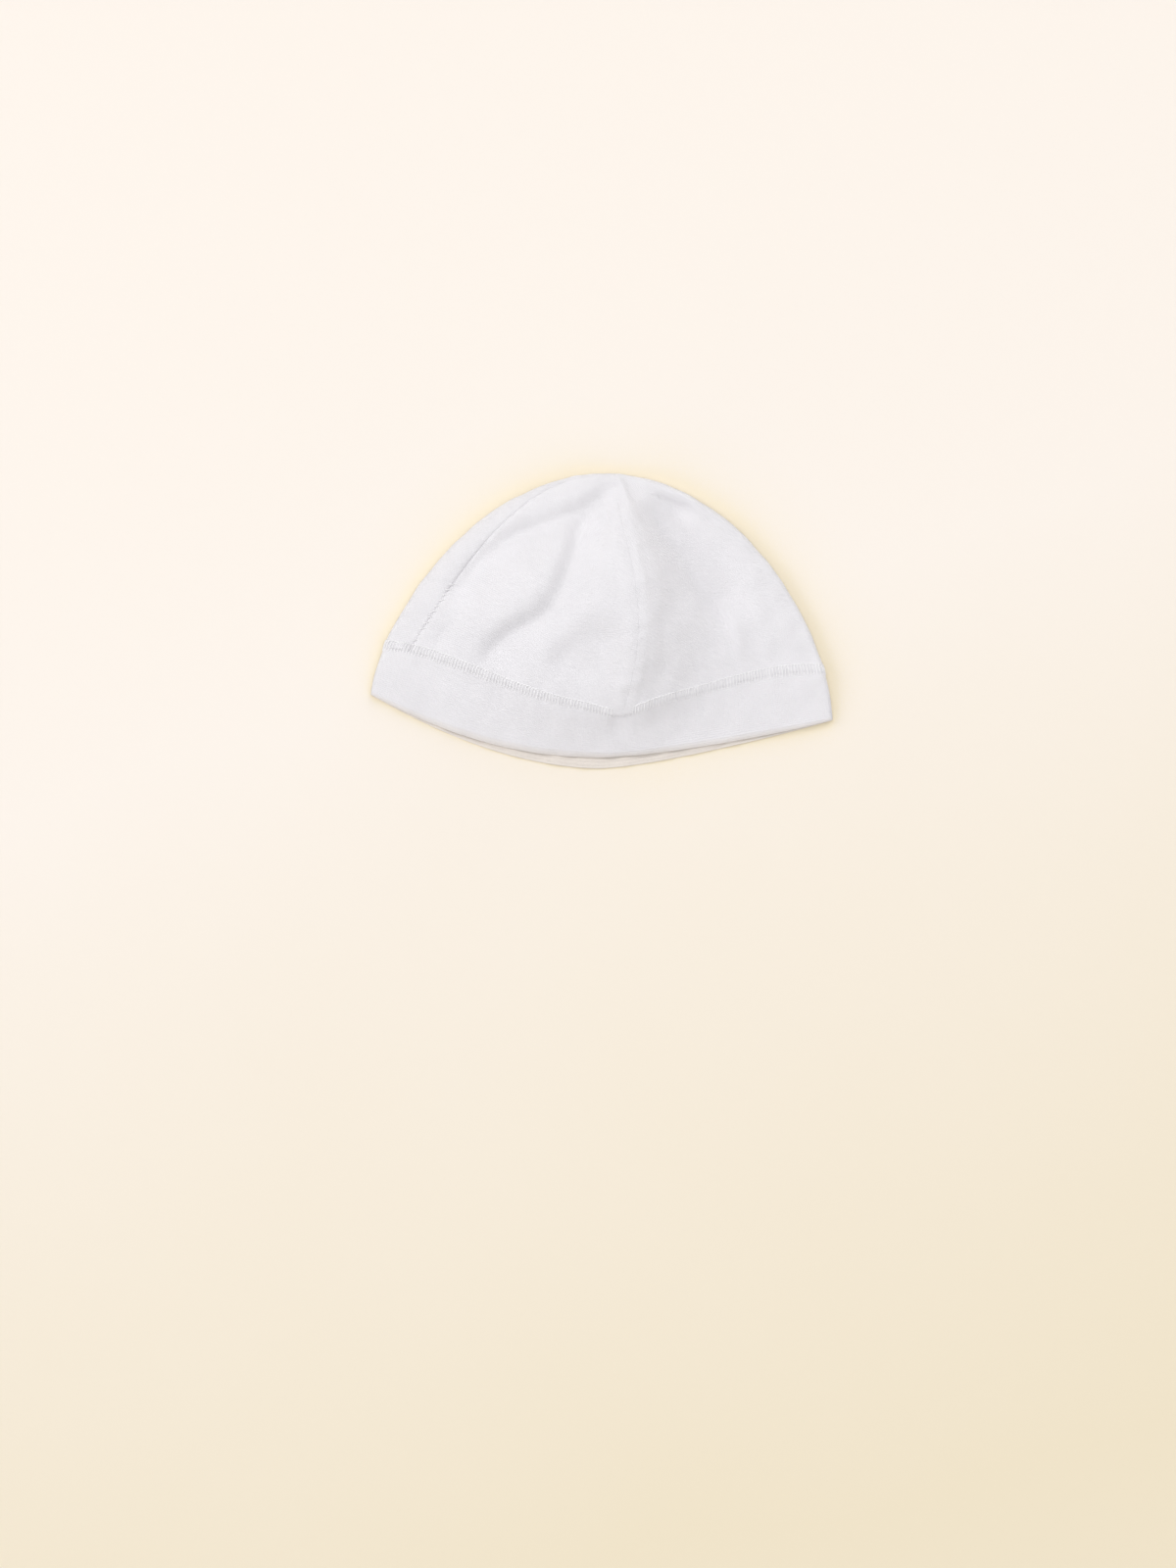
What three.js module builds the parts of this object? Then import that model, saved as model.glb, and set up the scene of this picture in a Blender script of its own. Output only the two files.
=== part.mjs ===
// A newborn's cotton hat, lying flat on its back as it is laid on a table.
// Four gores sewn together make the crown, and a doubled band goes round the mouth.
// Millimetres. +X runs across the hat, +Y from the mouth to the top of the crown,
// and +Z up from the table. The line between the two corners of the mouth is y = 0
// in all the functions below, and the finished hat is then moved onto its middle.

import * as THREE from "three";

const { lerp, clamp, smoothstep } = THREE.MathUtils;

// Sizes of the hat as it lies
const MOUTH_WIDTH = 170.5; // from corner to corner
const CROWN_REACH = 86; // from the line of the corners to the top of the crown
const FRONT_DROP = 18.5; // how far the front edge of the mouth hangs below that line
const BACK_DROP = 22.5; // the same for the back edge, which shows below the front one
const BAND_HEIGHT = 20;
const BAND_SIDE = 17.5; // height of the band's seam at the two side folds
const FRONT_SEAM_DROP = 0.6; // the front of the band's seam below the line, in the middle
const SIDE_FOLD_RADIUS = 3; // the cloth turns from front to back round this radius
const CROWN_THICKNESS = 1.2; // one layer of knitted cotton
const BAND_THICKNESS = 2; // two layers
const SEAM_GAP = 0.5; // between two pieces at their seam
const SEAM_DIP = 0.6; // how deep the cloth is drawn in at a seam
const SEAM_ROLL = 1.6; // width of the rolled edge beside a seam

// Shape of the outline and of the lines round the hat
const OUTLINE_POWER = 1.5; // 2 would be an ellipse, and less draws the crown to a blunter point
const FRONT_SAG_POWER = 1.8; // the mouth's edges sag in these powers of the way to its corners
const BACK_SAG_POWER = 1.6;
const MOUTH_SKEW = 1.9; // the mouth has slipped down on the left and up on the right by this much
const SEAM_SKEW = 0.7; // the same for the band's seam
const SKEW_LEVEL = 0.6; // how far up the crown that fades out
const SEAM_PULL = 2.7; // how far the front seam pulls the band's seam down at its foot
const SEAM_PULL_TURN = 0.12; // half width of that pull, as a share of a gore
const SEAM_PULL_LEVEL = 0.25; // how far up the crown it fades out

// Where the four seams of the crown run, as turns round the hat. A turn is -1 at the left fold,
// 0 in the middle of the front, 1 at the right fold, 2 in the middle of the back and 3 at the left
// fold again. The hat lies twisted, so that each seam has moved on from its fold or middle line.
const SEAMS = [
  { name: "left", foot: -0.88, half: -0.82, top: -0.9 },
  { name: "front", foot: 0.09, half: 0.183, top: 0.03 },
  { name: "right", foot: 1.1, half: 1.17, top: 1.1 },
  { name: "back", foot: 2.1, half: 2.17, top: 2.05 },
];
const [leftSeam, frontSeam, rightSeam, backSeam] = SEAMS;

// How high the front layer stands above its folded edges, along its middle
const LOFTS = [
  { at: "mouth", y: -FRONT_DROP, loft: 3.2 },
  { at: "band seam", y: -FRONT_SEAM_DROP, loft: 8 },
  { at: "low crown", y: 22, loft: 11.5 },
  { at: "middle of the crown", y: 46, loft: 11.5 },
  { at: "shoulder", y: 70, loft: 6.5 },
  { at: "top", y: CROWN_REACH, loft: 0 },
];

// How much of that height stands at each place across the hat. It has swelled up on the left and
// in the middle, falls off steeply on the right of the front seam and lies nearly flat from there.
const LOFT_SHARES = [
  { across: -1, share: 0 },
  { across: -0.8, share: 0.24 },
  { across: -0.55, share: 0.66 },
  { across: -0.25, share: 1 },
  { across: 0.24, share: 1 },
  { across: 0.33, share: 0.88 },
  { across: 0.41, share: 0.62 },
  { across: 0.5, share: 0.38 },
  { across: 0.6, share: 0.27 },
  { across: 0.72, share: 0.19 },
  { across: 0.86, share: 0.12 },
  { across: 1, share: 0 },
];

// Folds and dents of the front layer. Each follows a path drawn from its upper end to its
// lower one. Its height is over the loft, and its two half widths are towards -X and +X.
const FOLDS = [
  { name: "ridge along the front seam", height: 0.6, minusX: 7, plusX: 7,
    path: [[0, 84], [1.7, 74], [3.6, 65.5], [6.7, 56.5], [9.6, 45], [11, 30], [10.8, 14],
      [8.5, 2], [8, -4]] },
  { name: "long S-shaped hollow", height: -4.2, minusX: 4.2, plusX: 5.5,
    path: [[0, 80], [-4.5, 73], [-10, 64.5], [-13, 54.5], [-15.3, 45], [-19, 36], [-25.3, 29],
      [-33.4, 24.5], [-38.3, 20.7], [-44, 13.6], [-47, 9]] },
  { name: "hollow along the left seam", height: -3.2, minusX: 3.5, plusX: 7,
    path: [[-1, 78], [-8, 74.5], [-17, 70], [-26, 65], [-36, 58.5], [-45, 50.5], [-53, 40.5], [-59, 30]] },
  { name: "hollow below the top", height: -1.6, minusX: 8, plusX: 8,
    path: [[-2, 82], [-9, 73], [-18, 64], [-24, 56]] },
  { name: "upper hollow right of the seam", height: -2.4, minusX: 5, plusX: 11,
    path: [[10, 81], [14.5, 76], [19.5, 68.6], [24, 62], [28, 55.3], [32.5, 48.5], [37, 43], [40, 38]] },
  { name: "lower hollow right of the seam", height: -0.7, minusX: 3.5, plusX: 5,
    path: [[25, 50], [23.5, 41], [21.8, 32], [21.5, 25], [21.3, 18], [22.8, 12], [23.5, 7]] },
  { name: "small pleat on the right", height: 1.1, minusX: 3, plusX: 4.5,
    path: [[40, 42], [43, 37], [46.5, 31], [49.8, 25], [52.5, 19]] },
  { name: "dent left of the seam", height: -3.4, minusX: 10, plusX: 7,
    path: [[14, 19], [2, 16], [-8, 15], [-16, 10.5], [-22, 6]] },
  { name: "slanting fold of the band", height: -1.9, minusX: 6, plusX: 6,
    path: [[24, 4], [11.4, -4], [4, -9], [-3, -15]] },
];
const FOLD_PATH_STEPS = 18;
const FOLD_TAPER = 9; // each end of a fold runs out over this distance
const FOLD_FADE_START = 1.5; // folds fade out between these two distances from the outline
const FOLD_FADE_END = 8;

// How finely the walls are divided
const CROWN_ROWS = 19; // up to the first of the rows round the top
const TOP_ROWS = [9, 6.6, 4.8, 3.4, 2.2, 1.2]; // distances from the top, where the gores end
const BAND_ROWS = 4;
const BAND_FIRST_LEVEL = -0.8; // the first of those rows, above the rounded edge
const EDGE_SHARES = [0, 0.15, 0.5]; // rows on the band's folded edge, as shares of its thickness
const EDGE_ROUND = 0.8; // 1 would draw that edge to a line
const FRONT_COLUMNS = 18; // across one gore
const BACK_COLUMNS = 8;
const STRIP_COLUMNS = 2; // from a side fold to the seam just past it
const CORNER_SHARES = [1, 0.55, 0.2]; // columns on each half of a side fold, as shares of its width
const CORNER_WIDTH = 1.3 * SIDE_FOLD_RADIUS;
const CORNER_ROOM = 0.8; // the columns of a fold take at most this share of the way to the next seam
const ROLL_MOST_TURN = 0.03; // near the top, where a gore is narrow, its rolled edges narrow too

// A place on the cloth has a turn and a level. The level is -1 at the mouth, 0 at the band's seam
// and 1 at the top of the crown.
const MOUTH = -1;
const TOP = 1;
const LEFT_FOLD = -1;
const RIGHT_FOLD = 1;
const WHOLE_TURN = 4;

const SEAM_ANGLE = Math.asin((BAND_SIDE / CROWN_REACH) ** (OUTLINE_POWER / 2));
const TOP_ANGLE = Math.PI / 2;
const OVER_FOLD = (Math.PI / 2) * SIDE_FOLD_RADIUS; // a quarter of the way round a fold

// The right half of the outline, by an angle that is 0 at the corner of the mouth.
function outlinePoint(angle) {
  return new THREE.Vector2(
    (MOUTH_WIDTH / 2) * Math.cos(angle),
    CROWN_REACH * Math.sin(angle) ** (2 / OUTLINE_POWER),
  );
}

class CrownOutline extends THREE.Curve {
  getPoint(share) {
    return outlinePoint(lerp(SEAM_ANGLE, TOP_ANGLE, share));
  }
}
const crownOutline = new CrownOutline();

// The point of the outline at a level, evenly spaced along the crown.
function outlineAt(level) {
  return level < 0 ? outlinePoint(lerp(SEAM_ANGLE, 0, -level)) : crownOutline.getPointAt(level);
}

// The length of a layer's middle line from the band's seam to the top.
function middleLength(seamDrop) {
  return CROWN_REACH + seamDrop - SIDE_FOLD_RADIUS + OVER_FOLD;
}

// The height at which a level crosses the middle line, evenly spaced along it and over its fold.
function middleAt(level, drop, seamDrop) {
  if (level < 0) return lerp(-seamDrop, -drop, -level);
  const fromTop = (TOP - level) * middleLength(seamDrop);
  if (fromTop > OVER_FOLD) return CROWN_REACH - SIDE_FOLD_RADIUS - fromTop + OVER_FOLD;
  return CROWN_REACH - SIDE_FOLD_RADIUS * (1 - Math.cos(fromTop / SIDE_FOLD_RADIUS));
}

// The turn of a seam at a level, by a parabola through its three places.
function seamTurn({ foot, half, top }, level) {
  const bend = 2 * (foot + top) - 4 * half;
  return foot + level * (top - foot - bend) + bend * level ** 2;
}

const LEAST_SLOPE = 1e-6; // keeps the division below sound on the middle of the corners' line

// How far a place in plan lies inside the outline, to first order, which is exact at its edge.
function depthInside(x, y) {
  const across = Math.abs(x) / (MOUTH_WIDTH / 2);
  const along = Math.max(y, 0) / CROWN_REACH;
  const value = 1 - across ** 2 - along ** OUTLINE_POWER;
  const slope = Math.hypot(
    (2 * across) / (MOUTH_WIDTH / 2),
    (OUTLINE_POWER * along ** (OUTLINE_POWER - 1)) / CROWN_REACH,
  );
  return Math.max(value, 0) / Math.max(slope, LEAST_SLOPE);
}

const loftCurve = new THREE.CubicInterpolant(
  LOFTS.map((row) => row.y),
  LOFTS.map((row) => row.loft),
  1,
);
const shareCurve = new THREE.CubicInterpolant(
  LOFT_SHARES.map((row) => row.across),
  LOFT_SHARES.map((row) => row.share),
  1,
);

const foldPaths = FOLDS.map((fold) =>
  new THREE.SplineCurve(fold.path.map(([x, y]) => new THREE.Vector2(x, y))).getPoints(FOLD_PATH_STEPS),
);

// The place of a point beside a path: its distance, its side, from 0 towards -X to 1 towards +X,
// how far along the path it lies and the path's whole length.
function besidePath(points, x, y) {
  let nearest = { distance: Infinity };
  let length = 0;
  for (let i = 0; i + 1 < points.length; i++) {
    const [a, b] = [points[i], points[i + 1]];
    const [runX, runY] = [b.x - a.x, b.y - a.y];
    const run = Math.hypot(runX, runY);
    const share = clamp(((x - a.x) * runX + (y - a.y) * runY) / run ** 2, 0, 1);
    const distance = Math.hypot(x - a.x - share * runX, y - a.y - share * runY);
    if (distance < nearest.distance) {
      const aside = (runX * (y - a.y) - runY * (x - a.x)) / run;
      const side = distance > 0 ? (1 + aside / distance) / 2 : 0;
      nearest = { distance, side, along: length + share * run };
    }
    length += run;
  }
  return { ...nearest, length };
}

// The height of all the folds at a place in plan.
function foldsAt(x, y) {
  return FOLDS.reduce((height, fold, i) => {
    const { distance, side, along, length } = besidePath(foldPaths[i], x, y);
    const taper = smoothstep(along, 0, FOLD_TAPER) * smoothstep(length - along, 0, FOLD_TAPER);
    const width = lerp(fold.minusX, fold.plusX, side);
    return height + fold.height * taper * Math.exp(-((distance / width) ** 2));
  }, 0);
}

// How far the foot of the front seam pulls the cloth around it towards the mouth.
function seamPull(across, level) {
  const fade = level < 0 ? 1 + level : 1 - smoothstep(level, 0, SEAM_PULL_LEVEL);
  const fromSeam = across - frontSeam.foot;
  return SEAM_PULL * fade * Math.exp(-((fromSeam / SEAM_PULL_TURN) ** 2));
}

// The outer face of the cloth, as a smooth surface without its seams.
function clothPoint(turn, level) {
  const wrapped = THREE.MathUtils.euclideanModulo(turn - LEFT_FOLD, WHOLE_TURN) + LEFT_FOLD;
  const isFront = wrapped <= RIGHT_FOLD;
  const across = isFront ? wrapped : 2 * RIGHT_FOLD - wrapped;
  const edge = outlineAt(level);
  const x = across * edge.x;
  const middle = isFront
    ? middleAt(level, FRONT_DROP, FRONT_SEAM_DROP)
    : middleAt(level, BACK_DROP, BACK_DROP - BAND_HEIGHT);
  const sag = Math.abs(across) ** (isFront ? FRONT_SAG_POWER : BACK_SAG_POWER);
  const bow = smoothstep(Math.abs(across), 0, 1);
  const rise = lerp(bow, sag, clamp(-level, 0, 1));
  const slip = lerp(SEAM_SKEW, MOUTH_SKEW, clamp(-level, 0, 1)) * (1 - smoothstep(level, 0, SKEW_LEVEL));
  const skew = slip * Math.sin(Math.PI * across);
  const y = lerp(middle, edge.y, rise) + skew - (isFront ? seamPull(across, level) : 0);
  const depth = depthInside(x, y);
  const turned = 1 - Math.min(depth / SIDE_FOLD_RADIUS, 1);
  const half = SIDE_FOLD_RADIUS * Math.sqrt(1 - turned ** 2);
  if (!isFront) return new THREE.Vector3(x, y, SIDE_FOLD_RADIUS - half);
  const loft = loftCurve.evaluate(middle)[0] * shareCurve.evaluate(across)[0];
  const folds = foldsAt(x, y) * smoothstep(depth, FOLD_FADE_START, FOLD_FADE_END);
  return new THREE.Vector3(x, y, SIDE_FOLD_RADIUS + half + loft + folds);
}

const TURN_STEP = 0.02;
const LEVEL_STEP = 0.004;

// The directions of that surface round the hat, for a whole turn, and up towards the top.
function clothDirections(turn, level) {
  const before = Math.max(level - LEVEL_STEP, MOUTH);
  const after = Math.min(level + LEVEL_STEP, TOP);
  const round = clothPoint(turn + TURN_STEP, level).sub(clothPoint(turn - TURN_STEP, level));
  const up = clothPoint(turn, after).sub(clothPoint(turn, before));
  return { round: round.divideScalar(2 * TURN_STEP), up: up.normalize() };
}

function clothNormal(turn, level) {
  const { round, up } = clothDirections(turn, level);
  return round.cross(up).normalize();
}

// The turn that moves a place on a seam sideways by a distance.
function turnAside(turn, level, distance) {
  const { round, up } = clothDirections(turn, level);
  return distance / round.cross(up).length();
}

// How far the cloth is drawn in at a distance from its seam.
function seamDip(distance) {
  return SEAM_DIP * (1 - smoothstep(distance, 0, SEAM_ROLL));
}

// A closed wall of cloth. Each cell of the grid, row by row, has its turn, its level, how far its
// outer face is drawn in and how thick it is. A loop closes on itself round the hat.
function wallGeometry(grid, isLoop) {
  const rows = grid.length;
  const columns = grid[0].length;
  const outer = [];
  const inner = [];
  for (const { turn, level, dip, thickness } of grid.flat()) {
    const normal = clothNormal(turn, level);
    const face = clothPoint(turn, level).addScaledVector(normal, -dip);
    outer.push(...face);
    inner.push(...face.addScaledVector(normal, -thickness));
  }
  const innerStart = rows * columns;
  const index = [];
  const quad = (a, b, c, d) => index.push(a, b, c, a, c, d);
  const spans = isLoop ? columns : columns - 1;
  const at = (row, column) => row * columns + (column % columns);
  for (let column = 0; column < spans; column++) {
    for (let row = 0; row + 1 < rows; row++) {
      const corners = [at(row, column), at(row, column + 1), at(row + 1, column + 1), at(row + 1, column)];
      quad(...corners);
      quad(...corners.reverse().map((corner) => corner + innerStart));
    }
    const [low, lowNext] = [at(0, column), at(0, column + 1)];
    const [high, highNext] = [at(rows - 1, column), at(rows - 1, column + 1)];
    quad(low + innerStart, lowNext + innerStart, lowNext, low);
    quad(high, highNext, highNext + innerStart, high + innerStart);
  }
  for (let row = 0; row + 1 < rows && !isLoop; row++) {
    const [first, firstNext] = [at(row, 0), at(row + 1, 0)];
    const [last, lastNext] = [at(row, columns - 1), at(row + 1, columns - 1)];
    quad(first, firstNext, firstNext + innerStart, first + innerStart);
    quad(last + innerStart, lastNext + innerStart, lastNext, last);
  }
  const geometry = new THREE.BufferGeometry();
  geometry.setAttribute("position", new THREE.Float32BufferAttribute([...outer, ...inner], 3));
  geometry.setIndex(index);
  geometry.computeVertexNormals();
  return geometry;
}

// Even steps from one value to another, both included.
function evenSteps(from, to, count) {
  return Array.from({ length: count + 1 }, (_, i) => lerp(from, to, i / count));
}

const COTTON = { color: "#f0eff2", roughness: 0.92, metalness: 0 };

function clothPiece(name, grid, isLoop) {
  const mesh = new THREE.Mesh(wallGeometry(grid, isLoop), new THREE.MeshStandardMaterial(COTTON));
  mesh.name = name;
  return mesh;
}

const leftSeamAgain = {
  foot: leftSeam.foot + WHOLE_TURN,
  half: leftSeam.half + WHOLE_TURN,
  top: leftSeam.top + WHOLE_TURN,
};

// The gores in their order round the hat. Two of them go round a side fold.
const GORES = [
  { name: "crown_front_left", startSeam: leftSeam, endSeam: frontSeam, columns: FRONT_COLUMNS },
  { name: "crown_front_right", startSeam: frontSeam, endSeam: rightSeam, columns: FRONT_COLUMNS,
    foldTurn: RIGHT_FOLD },
  { name: "crown_back_right", startSeam: rightSeam, endSeam: backSeam, columns: BACK_COLUMNS },
  { name: "crown_back_left", startSeam: backSeam, endSeam: leftSeamAgain, columns: BACK_COLUMNS,
    foldTurn: LEFT_FOLD + WHOLE_TURN },
];
const SEAM_LENGTH = middleLength(FRONT_SEAM_DROP);
const FIRST_LEVEL = SEAM_GAP / 2 / SEAM_LENGTH;

// The turns of a gore's columns at a level, from its one edge to the other.
function goreTurns({ startSeam, endSeam, columns, foldTurn }, level) {
  const startTurn = seamTurn(startSeam, level);
  const endTurn = seamTurn(endSeam, level);
  const start = startTurn + turnAside(startTurn, level, SEAM_GAP / 2);
  const end = endTurn - turnAside(endTurn, level, SEAM_GAP / 2);
  const roll = Math.min(SEAM_ROLL / outlineAt(level).x, ROLL_MOST_TURN);
  const from = start + roll;
  const to = end - roll;
  if (foldTurn === undefined) return [start, ...evenSteps(from, to, columns), end];
  const room = Math.min(foldTurn - from, to - foldTurn);
  const width = Math.min(CORNER_WIDTH / outlineAt(level).x, CORNER_ROOM * room);
  const approach = CORNER_SHARES.map((share) => foldTurn - share * width);
  const leave = CORNER_SHARES.map((share) => foldTurn + share * width).reverse();
  return [
    start,
    ...evenSteps(from, approach[0], columns).slice(0, -1),
    ...approach,
    foldTurn,
    ...leave,
    ...evenSteps(leave.at(-1), to, STRIP_COLUMNS).slice(1),
    end,
  ];
}

// One gore. Its columns close up towards its tip, and its edges roll in towards their seams.
function gore(spec) {
  const topLevels = TOP_ROWS.map((distance) => TOP - distance / SEAM_LENGTH);
  const levels = [
    FIRST_LEVEL,
    ...evenSteps(SEAM_ROLL / SEAM_LENGTH, topLevels[0], CROWN_ROWS),
    ...topLevels.slice(1),
  ];
  const grid = levels.map((level) => {
    const turns = goreTurns(spec, level);
    return turns.map((turn) => {
      const sideways = Math.min(turn - turns[0], turns.at(-1) - turn) * outlineAt(level).x;
      const upwards = (level - FIRST_LEVEL) * SEAM_LENGTH;
      return { turn, level, dip: seamDip(Math.min(sideways, upwards)), thickness: CROWN_THICKNESS };
    });
  });
  return clothPiece(spec.name, grid, false);
}

// The band: one doubled loop of cloth, folded round at the mouth and sewn to the gores above it,
// whose columns it shares.
function band() {
  const edgeRows = EDGE_SHARES.map((share) => MOUTH + (share * BAND_THICKNESS) / BAND_HEIGHT);
  const lastLevel = -SEAM_GAP / 2 / BAND_HEIGHT;
  const rollLevel = -SEAM_ROLL / BAND_HEIGHT;
  const levels = [...edgeRows, ...evenSteps(BAND_FIRST_LEVEL, rollLevel, BAND_ROWS), lastLevel];
  const turns = GORES.flatMap((spec) => goreTurns(spec, FIRST_LEVEL));
  const grid = levels.map((level) => {
    const fromEdge = (level - MOUTH) * BAND_HEIGHT;
    const round = 1 - Math.min(fromEdge / (BAND_THICKNESS / 2), 1);
    const drawnIn = EDGE_ROUND * (BAND_THICKNESS / 2) * (1 - Math.sqrt(1 - round ** 2));
    const dip = seamDip((lastLevel - level) * BAND_HEIGHT) + drawnIn;
    const thickness = BAND_THICKNESS - 2 * drawnIn;
    return turns.map((turn) => ({ turn, level, dip, thickness }));
  });
  return clothPiece("band", grid, true);
}

const hat = new THREE.Group();
hat.name = "baby_hat";
hat.add(...GORES.map(gore), band());
hat.position.y = -new THREE.Box3().setFromObject(hat).getCenter(new THREE.Vector3()).y;

export default hat;
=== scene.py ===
import math

import bpy
import numpy as np
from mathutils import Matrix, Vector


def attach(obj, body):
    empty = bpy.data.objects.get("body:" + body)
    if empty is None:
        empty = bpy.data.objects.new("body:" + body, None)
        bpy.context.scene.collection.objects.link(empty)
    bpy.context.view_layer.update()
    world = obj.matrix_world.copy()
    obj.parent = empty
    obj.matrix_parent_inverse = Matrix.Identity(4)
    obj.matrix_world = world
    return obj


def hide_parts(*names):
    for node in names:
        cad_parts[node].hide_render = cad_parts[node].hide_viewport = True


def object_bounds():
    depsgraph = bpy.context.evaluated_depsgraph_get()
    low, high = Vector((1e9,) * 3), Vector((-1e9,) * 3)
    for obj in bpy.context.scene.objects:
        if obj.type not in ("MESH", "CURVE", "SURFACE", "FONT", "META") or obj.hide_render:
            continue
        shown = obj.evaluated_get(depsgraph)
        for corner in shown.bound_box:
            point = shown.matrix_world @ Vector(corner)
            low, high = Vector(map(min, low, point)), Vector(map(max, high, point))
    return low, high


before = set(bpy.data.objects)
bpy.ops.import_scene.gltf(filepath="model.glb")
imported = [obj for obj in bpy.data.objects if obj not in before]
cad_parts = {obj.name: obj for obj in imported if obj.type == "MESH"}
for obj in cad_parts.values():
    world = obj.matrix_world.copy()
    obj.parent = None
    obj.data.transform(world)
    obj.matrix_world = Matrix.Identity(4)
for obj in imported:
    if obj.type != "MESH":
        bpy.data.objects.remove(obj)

# A newborn's cotton hat, lying flat on its back. The hat is laid out in millimetres, with the line
# between the two corners of its mouth at y = 0, and MM turns that into Blender's metres.
MM = 0.001
cad_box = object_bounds()

# Sizes of the hat as it lies
MOUTH_WIDTH = 170.5
CROWN_REACH = 86
FRONT_DROP = 18.5
BACK_DROP = 22.5
BAND_HEIGHT = 20
BAND_SIDE = 17.5
FRONT_SEAM_DROP = 0.6
SIDE_FOLD_RADIUS = 1.7
SIDE_EDGE_HEIGHT = 0.6

# The front of the band is pressed down towards the mouth, and more so along its very edge.
MOUTH_PRESS = 1.35
MOUTH_ROLL = 0.45
MOUTH_ROLL_LEVEL = 0.88

# Shape of the outline and of the lines round the hat
OUTLINE_POWER = 1.5
FRONT_SAG_POWER = 1.8
BACK_SAG_POWER = 1.6
MOUTH_SKEW = 1.9
SEAM_SKEW = 0.7
SKEW_LEVEL = 0.6
SEAM_PULL = 2.7
SEAM_PULL_TURN = 0.12
SEAM_PULL_LEVEL = 0.25

# Turns of the crown's seams at their foot, half way up and at the top. A turn is -1 at the left
# fold, 0 in the middle of the front, 1 at the right fold, 2 in the middle of the back and 3 at the
# left fold again.
LEFT_SEAM = (-0.88, -0.82, -0.9)
FRONT_SEAM = (0.09, 0.183, 0.03)
RIGHT_SEAM = (1.1, 1.17, 1.1)
BACK_SEAM = (2.1, 2.17, 2.05)
WHOLE_TURN = 4
LEFT_SEAM_AGAIN = tuple(turn + WHOLE_TURN for turn in LEFT_SEAM)

# Height of the front layer above its folded edges along its middle, as (y, loft)
LOFTS = [
    (-FRONT_DROP, 0),
    (-FRONT_SEAM_DROP, 6.5),
    (10, 10.2),
    (22, 13.6),
    (46, 13.2),
    (70, 7.2),
    (CROWN_REACH, 0),
]

# How much of that height stands across the hat, as (place from -1 to 1, share)
LOFT_SHARES = [
    (-1, 0),
    (-0.9, 0.28),
    (-0.7, 0.56),
    (-0.45, 0.84),
    (-0.15, 1),
    (0.24, 1),
    (0.33, 0.88),
    (0.41, 0.62),
    (0.5, 0.38),
    (0.62, 0.22),
    (0.76, 0.16),
    (0.88, 0.1),
    (1, 0),
]

# On the band the fall of those shares to the right lies nearer to the front seam by DROP_SHIFT, which
# fades out between two levels.
DROP_SHIFT = 0.14
DROP_SHIFT_LEVELS = (-0.4, 0.25)

# Folds of the front layer, as (name, height, half width to -X, half width to +X, path)
FOLDS = [
    ("ridge along the front seam", 0.6, 7, 7,
     [(0, 84), (1.7, 74), (3.6, 65.5), (6.7, 56.5), (9.6, 45), (11, 30), (10.8, 14), (8.5, 2), (8, -4)]),
    ("long S-shaped hollow", -3.6, 4.4, 8,
     [(-4.5, 75), (-10, 64.5), (-13, 54.5), (-15.3, 45), (-19, 36), (-25.3, 29), (-33.4, 24.5),
      (-38.3, 20.7), (-44, 13.6), (-47, 9)]),
    ("hollow along the left seam", -3.5, 4.5, 9,
     [(5, 84), (-4, 75), (-12, 70), (-23, 65), (-37, 58), (-46, 50.5), (-53.5, 40.5), (-59, 30)]),
    ("upper hollow right of the seam", -4, 5, 11,
     [(12.5, 80), (20, 68.6), (25, 62), (29.5, 55.3), (34, 48.5), (38, 43), (42, 37), (46, 30)]),
    ("lower hollow right of the seam", -1, 3.5, 5,
     [(25, 50), (23.5, 41), (21.8, 32), (21.5, 25), (21.3, 18), (22.8, 12), (23.5, 7)]),
    ("small pleat on the right", 1.3, 2, 3.5,
     [(40, 44), (43, 38.5), (45.5, 34), (48, 27), (50, 20), (51.5, 13)]),
    ("dent left of the seam", -3.6, 8, 14,
     [(11, 25), (1, 23), (-8, 21), (-15, 15), (-22, 8)]),
    ("slanting fold of the band", -1.6, 8, 8,
     [(18, 1), (10, -4), (3, -9), (-4, -15)]),
]

# Smaller creases, in the same form
CREASES = [
    ("crease beside the top", -0.9, 1.3, 2.2,
     [(9, 80.8), (13.5, 79.2), (19.5, 76.8), (26.5, 72.2), (31, 68.5)]),
    ("dent at the foot of the seam", -0.35, 2.2, 2.2, [(8, 9), (8.4, 4), (9.4, -1)]),
    ("dent at the foot of the lower hollow", -0.7, 3, 3, [(21.2, 20), (21.4, 13), (22, 6)]),
    ("faint crease left of the ridge", -0.6, 2.5, 2.5,
     [(-5, 62), (-3.4, 59), (-0.3, 53.5), (2.2, 48.5), (4, 41)]),
    ("hollow below the band's seam", -1.1, 6, 4.5,
     [(-74, 13), (-68.8, 11.6), (-54, 7.7), (-45, 5), (-36.6, 2.2), (-26, -0.5)]),
    ("dent at the foot of the left seam", -0.8, 3, 3, [(-55, 29), (-60, 21.5), (-64, 14)]),
    ("small dent above the band", -0.9, 3, 3, [(-34.5, 24), (-33.5, 15), (-32.5, 6)]),
]
FOLD_PATH_STEPS = 18
FOLD_TAPER = 14
FOLD_FADE_START = 1.5
FOLD_FADE_END = 6

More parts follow.
